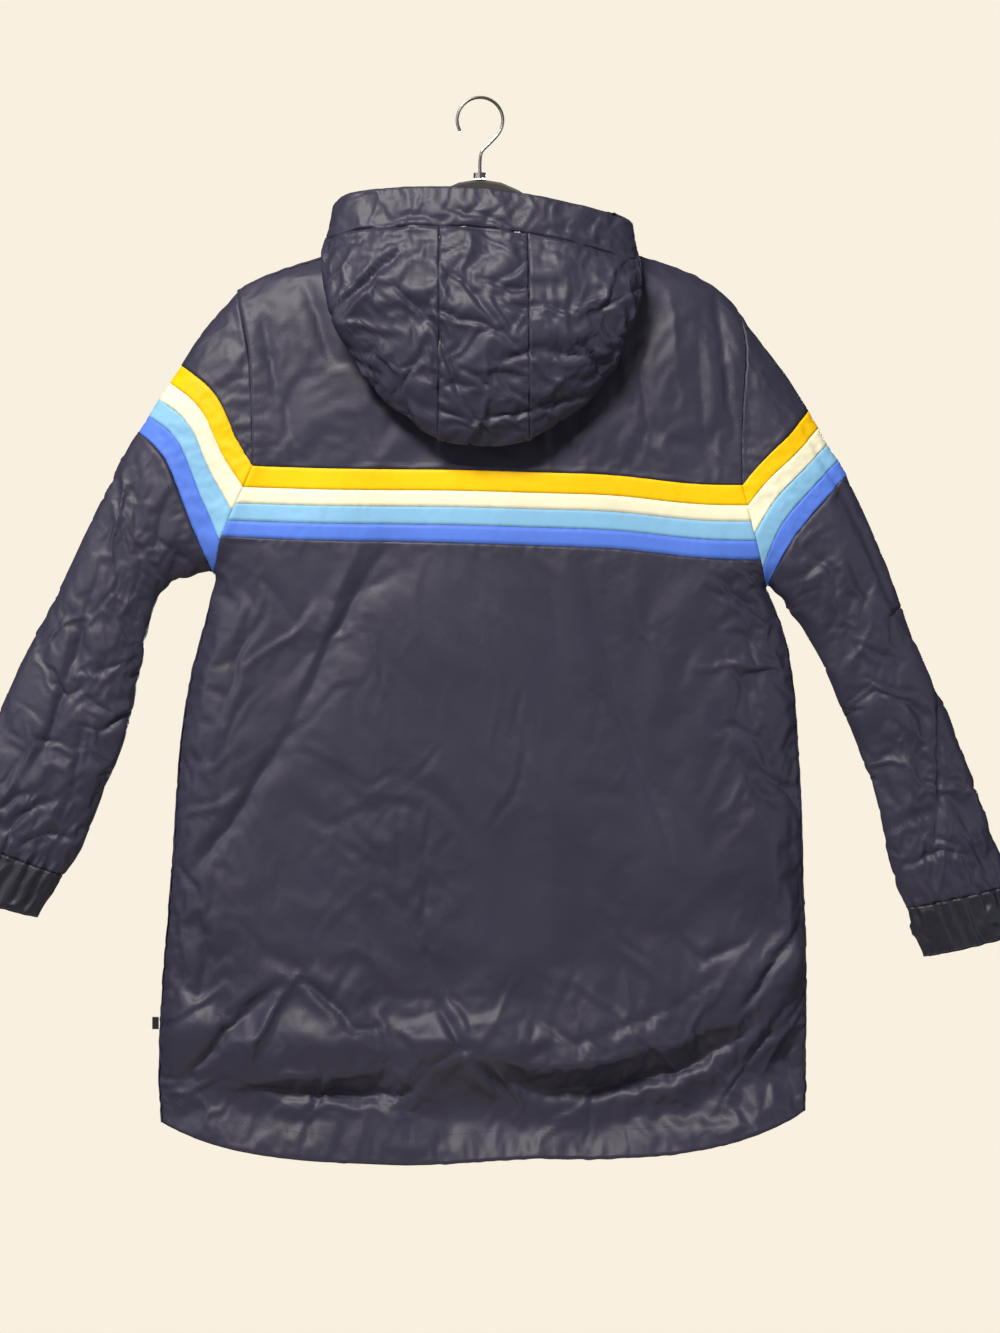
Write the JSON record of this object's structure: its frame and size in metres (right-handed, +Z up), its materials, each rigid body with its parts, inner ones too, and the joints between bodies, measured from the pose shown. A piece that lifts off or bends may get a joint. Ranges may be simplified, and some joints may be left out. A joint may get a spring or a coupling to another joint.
{
  "type": "hooded windbreaker jacket on a slim hanger",
  "caption": "Hooded zip windbreaker with sewn chest and sleeve stripes and elastic cuffs, hung flat on a slim flocked hanger.",
  "frame": {"origin": "the seat of the hanger's hook, the top of the inside of its wire, where a rail carries it", "axes": "+Z up along the hanging garment, the garment's back faces -Y and its front +Y, +X towards the wearer's right"},
  "size_m": [1.0098, 0.1277, 1.0013],
  "materials": {
    "shell_navy": "dark navy nylon taffeta with a soft sheen",
    "stripe_yellow": "bright yellow nylon",
    "stripe_white": "off-white nylon",
    "stripe_sky": "sky blue nylon",
    "stripe_royal": "royal blue nylon",
    "zip_tape": "woven polyester tape",
    "zip_teeth": "coil teeth",
    "zip_metal": "nickel plated",
    "tab": "folded woven tape",
    "hanger_flock": "flocked",
    "hanger_metal": "bright plated wire"
  },
  "bodies": {
    "jacket": {"back_upper": "shell_navy", "back_stripe_yellow": "stripe_yellow", "back_stripe_white": "stripe_white", "back_stripe_sky": "stripe_sky", "back_stripe_royal": "stripe_royal", "back_lower": "shell_navy", "front_left_upper": "shell_navy", "front_left_stripe_yellow": "stripe_yellow", "front_left_stripe_white": "stripe_white", "front_left_stripe_sky": "stripe_sky", "front_left_stripe_royal": "stripe_royal", "front_left_lower": "shell_navy", "front_right_upper": "shell_navy", "front_right_stripe_yellow": "stripe_yellow", "front_right_stripe_white": "stripe_white", "front_right_stripe_sky": "stripe_sky", "front_right_stripe_royal": "stripe_royal", "front_right_lower": "shell_navy", "sleeve_left_cap": "shell_navy", "sleeve_left_stripe_yellow": "stripe_yellow", "sleeve_left_stripe_white": "stripe_white", "sleeve_left_stripe_sky": "stripe_sky", "sleeve_left_stripe_royal": "stripe_royal", "sleeve_left_lower": "shell_navy", "sleeve_left_cuff": "shell_navy", "sleeve_right_cap": "shell_navy", "sleeve_right_stripe_yellow": "stripe_yellow", "sleeve_right_stripe_white": "stripe_white", "sleeve_right_stripe_sky": "stripe_sky", "sleeve_right_stripe_royal": "stripe_royal", "sleeve_right_lower": "shell_navy", "sleeve_right_cuff": "shell_navy", "hood_left": "shell_navy", "hood_centre": "shell_navy", "hood_right": "shell_navy", "hood_band": "shell_navy", "zip_tape_left": "zip_tape", "zip_tape_right": "zip_tape", "zip_chain": "zip_teeth", "zip_slider": "zip_metal", "side_tab": "tab", "hanger_body": "hanger_flock", "hanger_ferrule": "hanger_metal", "hanger_hook": "hanger_metal"},
    "pull_tab": {"zip_pull": "zip_metal"}
  },
  "joints": [
    {"name": "pull_tab_hinge", "type": "hinge", "parent": "jacket", "child": "pull_tab", "pos_m": [0.006, 0.0258, -0.2195], "axis": [1, 0, 0], "range_deg": [0, 150]}
  ]
}
